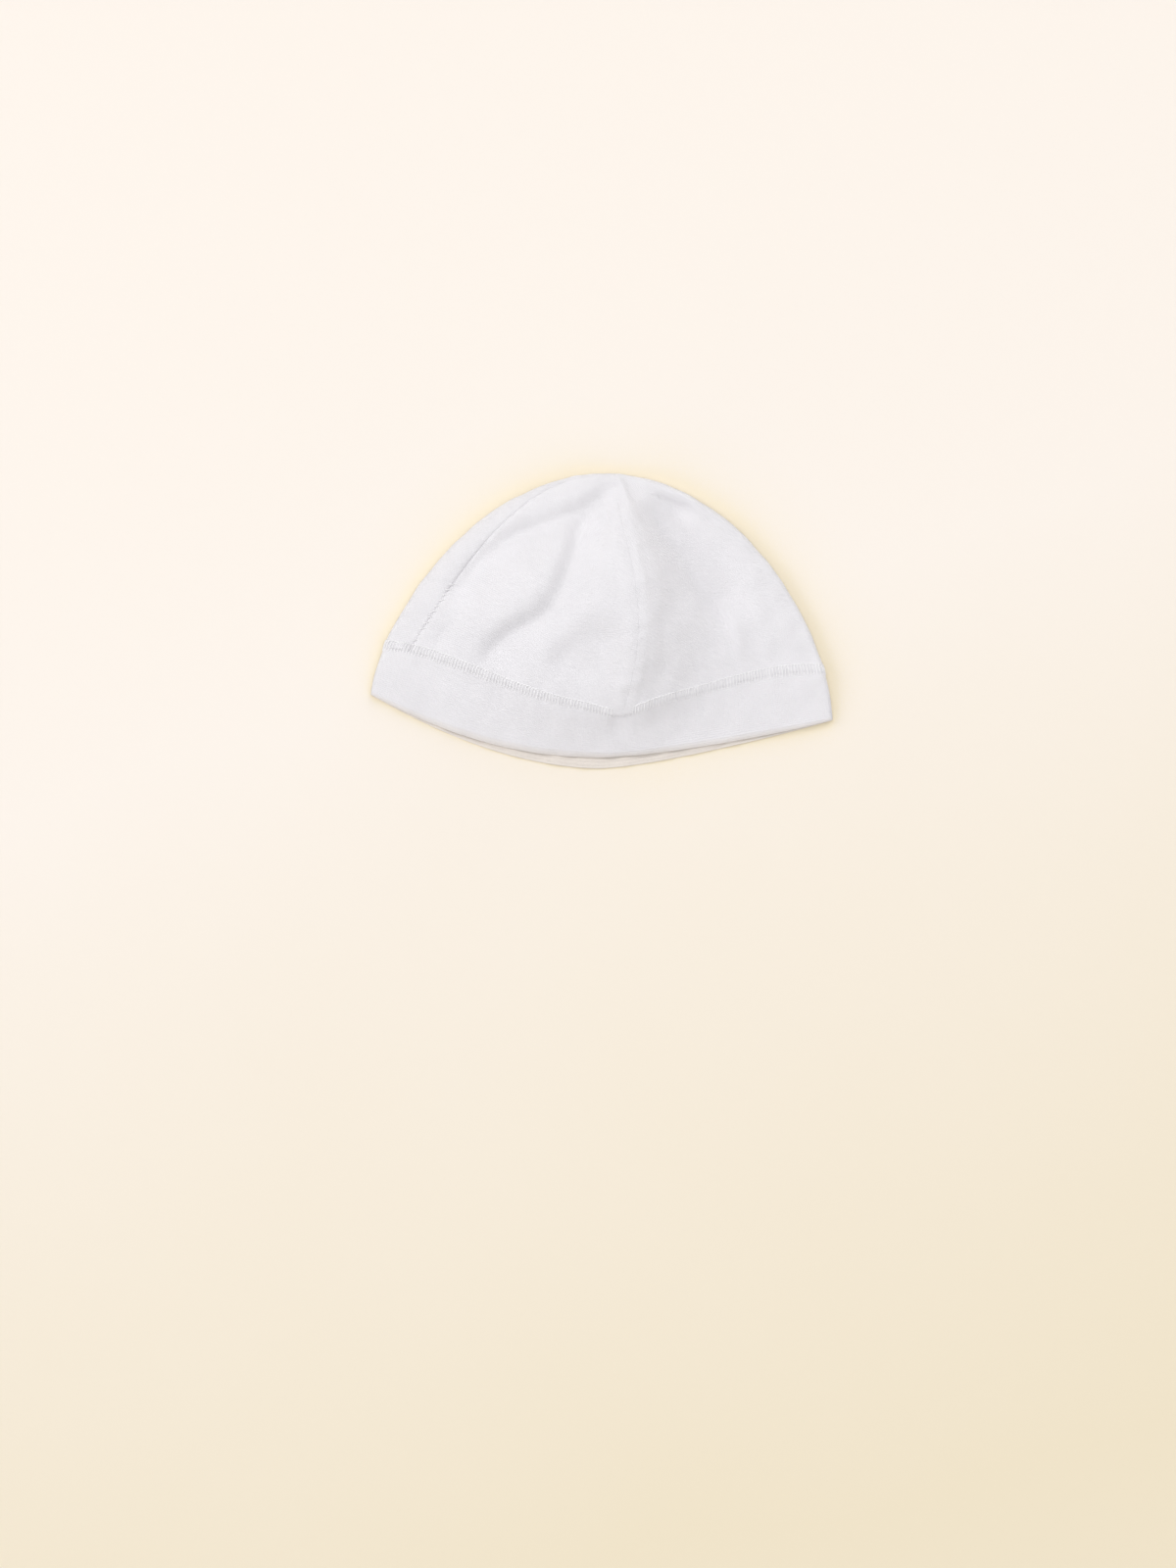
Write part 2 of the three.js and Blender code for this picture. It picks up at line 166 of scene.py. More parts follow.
# The cloth and its seams. A seam crease is where the cloth turns in at its seam, and the allowance is
# the seam's own cloth below, which lifts the cloth beside it.
CROWN_CLOTH = 0.9
BAND_CLOTH = 0.3
BAND_FOLD_RADIUS = 0.33
SEAM_GAP = 0.02
SEAM_CREASE_WIDTH = 0.5
SEAM_CREASE_DEPTH = 0.08
LEFT_SEAM_CREASE = 0.45
ALLOWANCE_WIDTH = 6
ALLOWANCE_SOFTNESS = 3.5
ALLOWANCE_RISE = 0.3
FOOT_RISE = 0.06
BAND_SINK = 0.06
BAND_SINK_WIDTH = 5
SEAM_EDGE_STEPS = [0, 0.12, 0.3, 0.55, 0.9, 1.4, 2.0]
TOP_STEPS = [3.4, 2.8, 2.2, 1.7, 1.2, 0.8, 0.5, 0.3]
EDGE_MOST_SHARE = 0.3
NARROW_WIDTH = 16

# Grid cells of the cloth, and how finely lengths along it are measured
FRONT_CELL = 0.5
BACK_CELL = 0.8
BAND_BEND_STEPS = 10
BAND_FACE_MARGIN = 3
OUTLINE_STEPS = 2000
ARC_SAMPLES = 420
FOLD_SAMPLES = 40
FOLD_SAMPLE_TURN = 0.06
NORMAL_STEP = 0.004
TINY_LENGTH = 1e-6
TINY_AREA = 1e-9
MERGE_DISTANCE = 0.001
SMOOTH_ANGLE = 60

# Wrinkles of the cloth, with the lengths of their waves. A spread brings their sum to about -1 to 1.
PUCKER_HEIGHT = 0.13
PUCKER_REACH = 5
PUCKER_WAVES = (4.7, 6.8, 9.9, 14.3)
PUCKER_SPREAD = 2.2
SLACK_HEIGHT = 0.15
SLACK_WAVES = (8, 10, 13, 17, 22, 29)
SLACK_SPREAD = 2.6

# Seeds of the random waves along each seam and over the whole cloth
LEFT_SEED = 11
FRONT_SEED = 12
RIGHT_SEED = 13
BACK_SEED = 14
FOOT_SEED = 7
SLACK_SEED = 3

# Stitching
STITCH_STEP = 1.15
THREAD_RADIUS = 0.17
# One stitch over the band's seam: its place along the seam in steps, its distance above the seam
# and its height over the cloth
STITCH_PATH = [
    (-0.05, -1.1, -0.25),
    (-0.05, -0.9, 0.04),
    (0, -0.3, 0.1),
    (0.05, 0.5, 0.1),
    (0.1, 1.4, 0.1),
    (0.15, 1.9, 0.1),
    (0.4, 2.15, 0.1),
    (0.9, 2.15, 0.08),
    (1.15, 2.0, -0.2),
]
# One stitch that grins through a seam of the crown, in the same form across that seam
GRIN_PATH = [
    (-0.2, -0.8, -0.25),
    (-0.15, -0.6, 0.06),
    (0, 0, 0.12),
    (0.15, 0.6, 0.06),
    (0.2, 0.8, -0.25),
]
# Where such stitches show, as (seam, first place above its foot, step, count)
GRIN_ROWS = [
    (LEFT_SEAM, 3.5, 1.9, 11),
    (FRONT_SEAM, 77, 1.1, 4),
]

# Cotton, with its noise in waves a metre
WHITE = (1, 1, 1)
WALE_WIDTH = 0.85
COURSE_HEIGHT = 0.65
KNIT_RELIEF = 0.12
LOOP_WAVE = 0.4
LOOP_SLANT = 0.5
COTTON_ROUGHNESS = 0.92
COTTON_SHEEN = 0.25
COTTON_SHEEN_ROUGHNESS = 0.5
COTTON_MOTTLE = {"scale": 70, "detail": 3}
KNIT_SHADE_SHARE = 0.35
TONE_ENDS = (0.2, 0.8)
INSIDE_SHADE_ENDS = (0.44, 0.49)
THREAD_ROUGHNESS = 0.8
THREAD_SHEEN = 0.15
THREAD_FIBRES = {"scale": 3000, "detail": 2}
FIBRE_ENDS = (0.3, 0.7)
FIBRE_RELIEF = 0.05

# The board, which darkens towards its near right corner, partly in its own tone and partly as a painted
# fall-off of the light, and the painted warm shade on it beside the hat, which is weaker on the left
FLOOR_SIZE = 4
BOARD_ROUGHNESS = 0.6
BOARD_MOTTLE = {"scale": 6, "detail": 4}
BOARD_UNEVENNESS = 0.2
BOARD_TONE_AND_FALLOFF = 2.8
BOARD_GRAIN = {"scale": 900, "detail": 3}
BOARD_RELIEF = 0.03
SHADE_REACH = 30
SHADE_SAMPLES = 12
SHADE_GROWTH = 12
SHADE_LEAST = 0.25
SHADE_FULL = 0.045
SHADE_TINT = (0.98, 0.945, 0.8)

# Lights, as (name, watts, size in metres, place in metres)
WORLD_STRENGTH = 0.2
LIGHTS = [
    ("overhead", 338, 9, (0, 0.6, 4.96)),
    ("window", 86, 1.8, (-4.41, 1.18, 2.03)),
    ("far right", 70, 3, (2.35, 4.07, 1.71)),
    ("near left", 46, 3, (-2.35, -4.07, 1.71)),
    ("near right", 24, 3, (3.6, -3, 1.71)),
]

# The camera looks straight down on the image's middle.
CAMERA_HEIGHT = 610
FRAME_LENGTH = 578
SENSOR = 36
IMAGE_MIDDLE = (-3.5, -28.4)
PICTURE_TURN = 3.16


# The cloth's surface


def smooth_step(value, start, end):
    """A share that goes smoothly from 0 to 1 as a value goes from start to end."""
    share = np.clip((value - start) / (end - start), 0, 1)
    return share * share * (3 - 2 * share)


def blend_between(start, end, share):
    """A value between start and end, by a share."""
    return start + (end - start) * share


def outline_points(angle):
    """Places on the right half of the hat's outline, from the mouth's corner to the top."""
    return MOUTH_WIDTH / 2 * np.cos(angle), CROWN_REACH * np.sin(angle) ** (2 / OUTLINE_POWER)


SEAM_ANGLE = math.asin((BAND_SIDE / CROWN_REACH) ** (OUTLINE_POWER / 2))
OVER_FOLD = math.pi / 2 * SIDE_FOLD_RADIUS
crown_angles = np.linspace(SEAM_ANGLE, math.pi / 2, OUTLINE_STEPS + 1)
crown_steps = np.hypot(*np.diff(np.array(outline_points(crown_angles))))
crown_lengths = np.concatenate([[0], np.cumsum(crown_steps)])
crown_shares = crown_lengths / crown_lengths[-1]


def outline_at(level):
    """The place on the right half of the outline at each level."""
    on_crown = np.interp(level, crown_shares, crown_angles)
    return outline_points(np.where(level < 0, SEAM_ANGLE * (1 + level), on_crown))


def middle_length(seam_drop):
    """The way along a layer's middle from the band's seam to the top, a quarter turn round its fold."""
    return CROWN_REACH + seam_drop - SIDE_FOLD_RADIUS + OVER_FOLD


def middle_at(level, drop, seam_drop):
    """The y of a layer's middle line at each level."""
    from_top = (1 - level) * middle_length(seam_drop)
    flat = CROWN_REACH - SIDE_FOLD_RADIUS - from_top + OVER_FOLD
    turned = CROWN_REACH - SIDE_FOLD_RADIUS * (1 - np.cos(from_top / SIDE_FOLD_RADIUS))
    on_crown = np.where(from_top > OVER_FOLD, flat, turned)
    return np.where(level < 0, blend_between(-seam_drop, -drop, -level), on_crown)


def seam_turn(seam, level):
    """The turn of a seam at each level, on a parabola through its three turns."""
    foot, half, top = seam
    bend = 2 * (foot + top) - 4 * half
    return foot + level * (top - foot - bend) + bend * level ** 2


def depth_inside(x, y):
    """About how far each place lies inside the outline."""
    across = np.abs(x) / (MOUTH_WIDTH / 2)
    along = np.maximum(y, 0) / CROWN_REACH
    value = 1 - across ** 2 - along ** OUTLINE_POWER
    slope_x = 2 * across / (MOUTH_WIDTH / 2)
    slope_y = OUTLINE_POWER * along ** (OUTLINE_POWER - 1) / CROWN_REACH
    return np.maximum(value, 0) / np.maximum(np.hypot(slope_x, slope_y), TINY_LENGTH)


def smooth_table(table, value):
    """A smooth curve through a table's rows, with the mean slope of its two neighbours at each."""
    places, heights = np.array(table, dtype=float).T
    slopes = np.diff(heights) / np.diff(places)
    knots = np.concatenate([slopes[:1], (slopes[:-1] + slopes[1:]) / 2, slopes[-1:]])
    i = np.clip(np.searchsorted(places, value) - 1, 0, len(slopes) - 1)
    span = places[i + 1] - places[i]
    t = np.clip((value - places[i]) / span, 0, 1)
    rise = heights[i] * (1 + 2 * t) * (1 - t) ** 2 + heights[i + 1] * t ** 2 * (3 - 2 * t)
    return rise + span * (knots[i] * t * (1 - t) ** 2 - knots[i + 1] * t ** 2 * (1 - t))


def smooth_path(path):
    """Points on a smooth curve through a fold's path."""
    points = np.array([path[0], *path, path[-1]], dtype=float)
    place = np.linspace(0, len(path) - 1, FOLD_PATH_STEPS + 1)
    i = np.minimum(place.astype(int), len(path) - 2)
    t = (place - i)[:, None]
    before, start, end, after = (points[i + k] for k in range(4))
    out, into = (end - before) / 2, (after - start) / 2
    cubic = (2 * start - 2 * end + out + into) * t ** 3
    return cubic + (3 * end - 3 * start - 2 * out - into) * t ** 2 + out * t + start


def beside_path(path, x, y):
    """The distance of each place from a path, its side, from 0 towards -X to 1 towards +X, and how
    far along the path it lies."""
    nearest = np.full(x.shape, np.inf)
    side = np.zeros(x.shape)
    along = np.zeros(x.shape)
    passed = 0
    for (start_x, start_y), (end_x, end_y) in zip(path[:-1], path[1:]):
        run_x, run_y = end_x - start_x, end_y - start_y
        run = math.hypot(run_x, run_y)
        from_x, from_y = x - start_x, y - start_y
        share = np.clip((from_x * run_x + from_y * run_y) / run ** 2, 0, 1)
        distance = np.hypot(from_x - share * run_x, from_y - share * run_y)
        aside = (run_x * from_y - run_y * from_x) / run
        closer = distance < nearest
        nearest = np.where(closer, distance, nearest)
        side = np.where(closer, (1 + aside / np.maximum(distance, TINY_LENGTH)) / 2, side)
        along = np.where(closer, passed + share * run, along)
        passed += run
    return nearest, side, along, passed


fold_paths = [smooth_path(fold[-1]) for fold in FOLDS + CREASES]


def folds_at(x, y):
    """The height of all folds and creases together at each place."""
    height = np.zeros(x.shape)
    for (_, rise, minus_width, plus_width, _), path in zip(FOLDS + CREASES, fold_paths):
        distance, side, along, length = beside_path(path, x, y)
        taper = min(FOLD_TAPER, length / 2)
        fade = smooth_step(along, 0, taper) * smooth_step(length - along, 0, taper)
        height += rise * fade * np.exp(-(distance / blend_between(minus_width, plus_width, side)) ** 2)
    return height


def cloth_points(turn, level):
    """The outer face of the cloth at each turn and level, without its seams. The level is -1 at
    the mouth, 0 at the band's seam and 1 at the top of the crown."""
    turn, level = np.broadcast_arrays(turn, level)
    wrapped = np.mod(turn + 1, WHOLE_TURN) - 1
    front = wrapped <= 1
    across = np.where(front, wrapped, 2 - wrapped)
    edge_x, edge_y = outline_at(level)
    x = across * edge_x
    back_seam_drop = BACK_DROP - BAND_HEIGHT
    front_middle = middle_at(level, FRONT_DROP, FRONT_SEAM_DROP)
    middle = np.where(front, front_middle, middle_at(level, BACK_DROP, back_seam_drop))
    sag = np.abs(across) ** np.where(front, FRONT_SAG_POWER, BACK_SAG_POWER)
    rise = blend_between(smooth_step(np.abs(across), 0, 1), sag, np.clip(-level, 0, 1))
    skew = blend_between(SEAM_SKEW, MOUTH_SKEW, np.clip(-level, 0, 1))
    skew = skew * np.sin(np.pi * across) * (1 - smooth_step(level, 0, SKEW_LEVEL))
    pull_fade = np.where(level < 0, 1 + level, 1 - smooth_step(level, 0, SEAM_PULL_LEVEL))
    pull = SEAM_PULL * pull_fade * np.exp(-((across - FRONT_SEAM[0]) / SEAM_PULL_TURN) ** 2)
    y = blend_between(middle, edge_y, rise) + skew - np.where(front, pull, 0)
    depth = depth_inside(x, y)
    turned = 1 - np.minimum(depth / SIDE_FOLD_RADIUS, 1)
    half = SIDE_FOLD_RADIUS * np.sqrt(1 - turned ** 2)
    shift = DROP_SHIFT * (1 - smooth_step(level, *DROP_SHIFT_LEVELS)) * (1 - across ** 2)
    puff = smooth_table(LOFTS, front_middle) * smooth_table(LOFT_SHARES, across + shift)
    folds = np.zeros(x.shape)
    folds[front] = folds_at(x[front], y[front])
    folds *= smooth_step(depth, FOLD_FADE_START, FOLD_FADE_END)
    lower = half * SIDE_EDGE_HEIGHT / SIDE_FOLD_RADIUS
    press = MOUTH_PRESS * smooth_step(-level, 0, 1)
    press = press + MOUTH_ROLL * smooth_step(-level, MOUTH_ROLL_LEVEL, 1)
    press = press * half / SIDE_FOLD_RADIUS
    z = SIDE_EDGE_HEIGHT + np.where(front, 2 * half - lower + puff + folds - press, -lower)
    return np.stack([x, y, z], axis=-1)


# From the line between the mouth's corners to the frame's own y = 0
mouth_edge = cloth_points(np.linspace(-1, 3, OUTLINE_STEPS), -1)
LYING_SHIFT = cad_box[0][1] / MM - mouth_edge[:, 1].min()


def grid_normals(points):
    """Normals of a grid of points, from each point's neighbours in its row and column."""
    along_row = np.gradient(points, axis=1)
    along_column = np.gradient(points, axis=0)
    normals = np.cross(along_row, along_column)
    return normals / np.maximum(np.linalg.norm(normals, axis=-1, keepdims=True), TINY_AREA)


def cloth_normals(turn, level):
    """Outward normals of the cloth at each turn and level, without its seams."""
    round_hat = cloth_points(turn + NORMAL_STEP, level) - cloth_points(turn - NORMAL_STEP, level)
    upwards = cloth_points(turn, level + NORMAL_STEP) - cloth_points(turn, level - NORMAL_STEP)
    normals = np.cross(round_hat, upwards)
    return normals / np.linalg.norm(normals, axis=-1, keepdims=True)


def arc_lengths(points, axis):
    """Lengths along rows or columns of points, each from its first point."""
    steps = np.linalg.norm(np.diff(points, axis=axis), axis=-1)
    first = np.zeros_like(np.take(steps, [0], axis=axis))
    return np.concatenate([first, np.cumsum(steps, axis=axis)], axis=axis)


def fine_turns(start_turn, end_turn):
    """Sample turns from one to another, closer together at the side folds."""
    fold_steps = FOLD_SAMPLE_TURN * np.linspace(0, 1, FOLD_SAMPLES) ** 2
    near_folds = [fold + sign * fold_steps for fold in (-1, 1, 3) for sign in (-1, 1)]
    samples = np.concatenate([np.linspace(start_turn, end_turn, ARC_SAMPLES), *near_folds])
    return np.unique(np.clip(samples, start_turn, end_turn))


# Wrinkles of the cloth


def ripple(place, seed):
    """Uneven waves along a seam, from about -1 to 1, with places in millimetres."""
    rng = np.random.default_rng(seed)
    total = np.zeros(np.shape(place))
    for wave in PUCKER_WAVES:
        total += np.sin(2 * np.pi * place / wave + rng.uniform(0, 2 * np.pi))
    return total / PUCKER_SPREAD


def slack(x, y, seed):
    """Soft unevenness of the whole cloth, from about -1 to 1."""
    rng = np.random.default_rng(seed)
    total = np.zeros(np.shape(x))
    for wave in SLACK_WAVES:
        angle = rng.uniform(0, np.pi)
        offset = rng.uniform(0, 2 * np.pi)
        run = x * math.cos(angle) + y * math.sin(angle)
        total += np.sin(2 * np.pi * run / wave + offset)
    return total / SLACK_SPREAD


def foot_pucker(turn, distance):
    """Puckers along the band's seam, which fade out on both of its sides."""
    along_seam = turn * MOUTH_WIDTH / 2
    return PUCKER_HEIGHT * ripple(along_seam, FOOT_SEED) * np.exp(-distance / PUCKER_REACH)


def loose_cloth(points):
    """The height of the cloth's unevenness at each point."""
    return SLACK_HEIGHT * slack(points[..., 0], points[..., 1], SLACK_SEED)


def seam_crease(distance, depth=SEAM_CREASE_DEPTH):
    """How deep the cloth has turned in at a distance from its seam."""
    return depth * np.exp(-distance / SEAM_CREASE_WIDTH)


def allowance(distance):
    """How far the seam allowance below lifts the cloth."""
    soft_start = ALLOWANCE_WIDTH - ALLOWANCE_SOFTNESS
    return ALLOWANCE_RISE * (1 - smooth_step(distance, soft_start, ALLOWANCE_WIDTH))


def band_sink(distance):
    """How far the band lies below the crown beside their seam."""
    return BAND_SINK * (1 - smooth_step(distance, 0, BAND_SINK_WIDTH))


# Pieces


def make_sheet(name, points, flat_places, thickness, is_loop=False):
    """A closed piece of cloth from rows of points on its outer face."""
    rows, columns = points.shape[:2]
    bpy.ops.object.select_all(action="DESELECT")
    bpy.ops.mesh.primitive_grid_add(x_subdivisions=columns - 1, y_subdivisions=rows - 1, size=1)
    piece = bpy.context.object
    piece.name = name
    piece.data.name = name
    mesh = piece.data
    placed = (points + np.array([0, LYING_SHIFT, 0])) * MM
    placed[..., 2] = np.maximum(placed[..., 2], 0)
    mesh.vertices.foreach_set("co", placed.reshape(-1))
    corners = np.empty(len(mesh.loops), dtype=np.int32)
    mesh.loops.foreach_get("vertex_index", corners)
    mesh.uv_layers[0].uv.foreach_set("vector", flat_places.reshape(-1, 2)[corners].reshape(-1))
    mesh.update()
    if is_loop:
        bpy.ops.object.mode_set(mode="EDIT")
        bpy.ops.mesh.select_all(action="SELECT")
        bpy.ops.mesh.remove_doubles(threshold=MERGE_DISTANCE * MM)
        bpy.ops.object.mode_set(mode="OBJECT")
    wall = piece.modifiers.new("wall", "SOLIDIFY")
    wall.thickness = thickness * MM
    wall.offset = -1
    bpy.ops.object.modifier_apply(modifier=wall.name)
    bpy.ops.object.shade_smooth_by_angle(angle=math.radians(SMOOTH_ANGLE))
    return piece


def row_turns(start_turn, end_turn, level, columns):
    """Turns of one row's columns, even along the cloth and closer beside its two seams, with their
    distances from both seams."""
    samples = fine_turns(start_turn, end_turn)
    arcs = arc_lengths(cloth_points(samples, np.full(samples.shape, level)), axis=0)
    length = arcs[-1] - SEAM_GAP
    edge = np.array(SEAM_EDGE_STEPS) * min(1, EDGE_MOST_SHARE * length / SEAM_EDGE_STEPS[-1])
    between = np.linspace(edge[-1], length - edge[-1], columns)
    places = np.concatenate([edge[:-1], between, length - edge[-2::-1]])
    turns = np.interp(places + SEAM_GAP / 2, arcs, samples)
    return turns, places, length - places


def make_gore(name, start_seam, end_seam, cell, seeds, lifts, creases):
    """One gore of the crown. For its first and last seam it takes the seed of the puckers, how much
    of the seam allowance lifts the cloth and how deep the cloth turns in."""
    crown_length = middle_length(FRONT_SEAM_DROP)
    edge_levels = (np.array(SEAM_EDGE_STEPS) + SEAM_GAP / 2) / crown_length
    top_levels = 1 - np.array(TOP_STEPS) / crown_length
    count = round((top_levels[0] - edge_levels[-1]) * crown_length / cell)
    body_levels = np.linspace(edge_levels[-1], top_levels[0], count)
    levels = np.concatenate([edge_levels[:-1], body_levels, top_levels[1:]])
    columns = round(MOUTH_WIDTH / 2 / cell)
    rows = []
    for level in levels:
        ends = seam_turn(start_seam, level), seam_turn(end_seam, level)
        rows.append(row_turns(*ends, level, columns))
    turns, from_start, from_end = (np.array(part) for part in zip(*rows))
    level_grid = np.repeat(levels[:, None], turns.shape[1], axis=1)
    smooth = cloth_points(turns, level_grid)
    normals = grid_normals(smooth)
    from_foot = (level_grid - levels[0]) * crown_length
    widths = from_start[:, -1:]
    narrow = np.minimum(widths / NARROW_WIDTH, 1)
    crease = np.maximum(seam_crease(from_start, creases[0]), seam_crease(from_end, creases[1]))
    crease = np.maximum(crease * narrow, seam_crease(from_foot))
    along_seam = level_grid * crown_length
    pucker = ripple(along_seam, seeds[0]) * np.exp(-from_start / PUCKER_REACH)
    pucker += ripple(along_seam, seeds[1]) * np.exp(-from_end / PUCKER_REACH)
    relief = PUCKER_HEIGHT * pucker * narrow + foot_pucker(turns, from_foot) + loose_cloth(smooth)
    lift = np.maximum(lifts[0] * allowance(from_start), lifts[1] * allowance(from_end)) * narrow
    lift = np.maximum(lift, FOOT_RISE / ALLOWANCE_RISE * allowance(from_foot))
    points = smooth + normals * (relief + lift - crease)[..., None]
    middle = turns.shape[1] // 2
    row_arcs = arc_lengths(points, axis=1)
    flat_x = row_arcs - row_arcs[:, middle:middle + 1]
    flat_y = np.broadcast_to(arc_lengths(points, axis=0)[:, middle:middle + 1], flat_x.shape)
    return make_sheet(name, points, np.stack([flat_x, flat_y], axis=-1), CROWN_CLOTH)


def make_band():
    """The band: a doubled loop of cloth, folded round at the mouth."""
    samples = fine_turns(-1, 3)
    middle_level = -0.5
    arcs = arc_lengths(cloth_points(samples, np.full(samples.shape, middle_level)), axis=0)
    half = np.interp(1, samples, arcs)
    front_places = np.linspace(0, half, round(half / FRONT_CELL), endpoint=False)
    back_places = np.linspace(half, arcs[-1], round(half / BACK_CELL) + 1)
    turns = np.interp(np.concatenate([front_places, back_places]), arcs, samples)
    seam_steps = np.array(SEAM_EDGE_STEPS) + SEAM_GAP / 2
    radius = BAND_FOLD_RADIUS
    face_rows = round((BAND_HEIGHT - BAND_FACE_MARGIN) / FRONT_CELL)
    face = np.linspace(seam_steps[-1], BAND_HEIGHT - radius, face_rows)
    outer = np.concatenate([seam_steps[:-1], face])
    bend = np.linspace(0, np.pi, BAND_BEND_STEPS + 1)[1:-1]
    fold_steps = BAND_HEIGHT - radius * (1 - np.sin(bend))
    inner = np.linspace(BAND_HEIGHT - radius, SEAM_GAP, round(BAND_HEIGHT / BACK_CELL))
    below = np.concatenate([outer, fold_steps, inner])[::-1]
    depths = np.concatenate([0 * outer, radius * (1 - np.cos(bend)), 2 * radius + 0 * inner])[::-1]
    levels = -below / BAND_HEIGHT
    smooth = cloth_points(turns[None, :], levels[:, None])
    # Normals come from the rows in their order down the band, and go back to each row by its rank.
    outward = -grid_normals(cloth_points(turns[None, :], -np.sort(-levels)[:, None]))
    rank = np.argsort(np.argsort(-levels))
    outward = outward[rank]
    is_outer = depths <= radius
    sunk = np.where(is_outer, band_sink(below) + seam_crease(below), 0)
    relief = foot_pucker(turns[None, :], below[:, None]) + loose_cloth(smooth)
    points = smooth + outward * (relief - (sunk + depths)[:, None])[..., None]
    points[:, -1] = points[:, 0]
    row_arcs = np.broadcast_to(arc_lengths(points, axis=1)[-1:], points.shape[:2])
    flat_y = np.broadcast_to(arc_lengths(points, axis=0)[:, :1], points.shape[:2])
    flat_places = np.stack([row_arcs, flat_y], axis=-1)
    return make_sheet("band_cloth", points, flat_places, BAND_CLOTH, is_loop=True)


def make_band_stitching():
    """The row of stitches that joins the band to the crown."""
    samples = fine_turns(-1, 3)
    arcs = arc_lengths(cloth_points(samples, np.zeros(samples.shape)), axis=0)
    count = round(arcs[-1] / STITCH_STEP)
    step = arcs[-1] / count
    along, above, height = np.array(STITCH_PATH).T
    places = (np.arange(count)[:, None] + along[None, :]) * step
    turns = np.interp(np.mod(places, arcs[-1]), arcs, samples)
    above = np.broadcast_to(above, turns.shape)
    levels = np.where(above > 0, above / middle_length(FRONT_SEAM_DROP), above / BAND_HEIGHT)
    points = cloth_points(turns, levels)
    distance = np.abs(above)
    crown_lift = FOOT_RISE / ALLOWANCE_RISE * allowance(distance)
    lift = np.where(above > 0, crown_lift, -band_sink(distance))
    lift = lift + foot_pucker(turns, distance) + loose_cloth(points) + height
    points = points + cloth_normals(turns, levels) * lift[..., None]
    return make_threads("band_stitching", points)


def make_grin_stitching():
    """The few stitches that show in the crown's seams."""
    along, aside, height = np.array(GRIN_PATH).T
    rows = []
    for seam, start, step, count in GRIN_ROWS:
        above_foot = start + (np.arange(count)[:, None] + along[None, :]) * step
        levels = above_foot / middle_length(FRONT_SEAM_DROP)
        turns = seam_turn(seam, levels) + aside[None, :] / outline_at(levels)[0]
        points = cloth_points(turns, levels)
        lift = height[None, :] + loose_cloth(points)
        rows.append(points + cloth_normals(turns, levels) * lift[..., None])
    return make_threads("seam_stitching", np.concatenate(rows))


def make_threads(name, paths):
    """Threads along the given paths, as one mesh. None of them lies below the floor."""
    curve = bpy.data.curves.new(name, "CURVE")
    curve.dimensions = "3D"
    curve.bevel_depth = THREAD_RADIUS * MM
    curve.bevel_resolution = 1
    curve.use_fill_caps = True
    for path in paths:
        spline = curve.splines.new("POLY")
        spline.points.add(len(path) - 1)
        placed = (path + np.array([0, LYING_SHIFT, 0])) * MM
        placed[:, 2] = np.maximum(placed[:, 2], curve.bevel_depth)
        weights = np.ones((len(path), 1))
        spline.points.foreach_set("co", np.concatenate([placed, weights], axis=1).reshape(-1))
    piece = bpy.data.objects.new(name, curve)
    bpy.context.collection.objects.link(piece)
    bpy.ops.object.select_all(action="DESELECT")
    piece.select_set(True)
    bpy.context.view_layer.objects.active = piece
    bpy.ops.object.convert(target="MESH")
    return bpy.context.object


# Materials


def combine(tree, operation, *values):
    """The output of a Math node on numbers and other nodes' outputs."""
    node = tree.nodes.new("ShaderNodeMath")
    node.operation = operation
    for socket, value in zip(node.inputs, values):
        if isinstance(value, (int, float)):
            socket.default_value = value
        else:
            tree.links.new(value, socket)
    return node.outputs[0]


def mottle(tree, scale, detail):
    """Noise from the piece's own coordinates, with its scale in waves a metre."""
    place = tree.nodes.new("ShaderNodeTexCoord")
    noise = tree.nodes.new("ShaderNodeTexNoise")
    noise.inputs["Scale"].default_value = scale
    noise.inputs["Detail"].default_value = detail
    tree.links.new(place.outputs["Object"], noise.inputs["Vector"])
    return noise.outputs["Fac"]


def ramp(tree, value, low, high, dark, light):
    """Colours from dark to light as a value goes from low to high."""
    node = tree.nodes.new("ShaderNodeValToRGB")
    node.color_ramp.elements[0].position = low
    node.color_ramp.elements[1].position = high
    node.color_ramp.elements[0].color = (*dark, 1)
    node.color_ramp.elements[1].color = (*light, 1)
    tree.links.new(value, node.inputs["Fac"])
    return node.outputs["Color"]


def multiply(tree, first, second):
    """The product of two colours."""
    node = tree.nodes.new("ShaderNodeMix")
    node.data_type = "RGBA"
    node.blend_type = "MULTIPLY"
    node.inputs["Factor"].default_value = 1
    first_socket, second_socket = (socket for socket in node.inputs if socket.type == "RGBA")
    tree.links.new(first, first_socket)
    tree.links.new(second, second_socket)
    return next(socket for socket in node.outputs if socket.type == "RGBA")


def add_bump(tree, shader, height, depth):
    """Relief in the shader, with its depth in millimetres."""
    bump = tree.nodes.new("ShaderNodeBump")
    bump.inputs["Strength"].default_value = 1
    bump.inputs["Distance"].default_value = depth * MM
    tree.links.new(height, bump.inputs["Height"])
    tree.links.new(bump.outputs["Normal"], shader.inputs["Normal"])


def flat_place(tree):
    """Places on the flat cloth in millimetres, across and along it."""
    flat = tree.nodes.new("ShaderNodeUVMap")
    flat.uv_map = "UVMap"
    split = tree.nodes.new("ShaderNodeSeparateXYZ")
    tree.links.new(flat.outputs["UV"], split.inputs["Vector"])
    return split.outputs["X"], split.outputs["Y"]


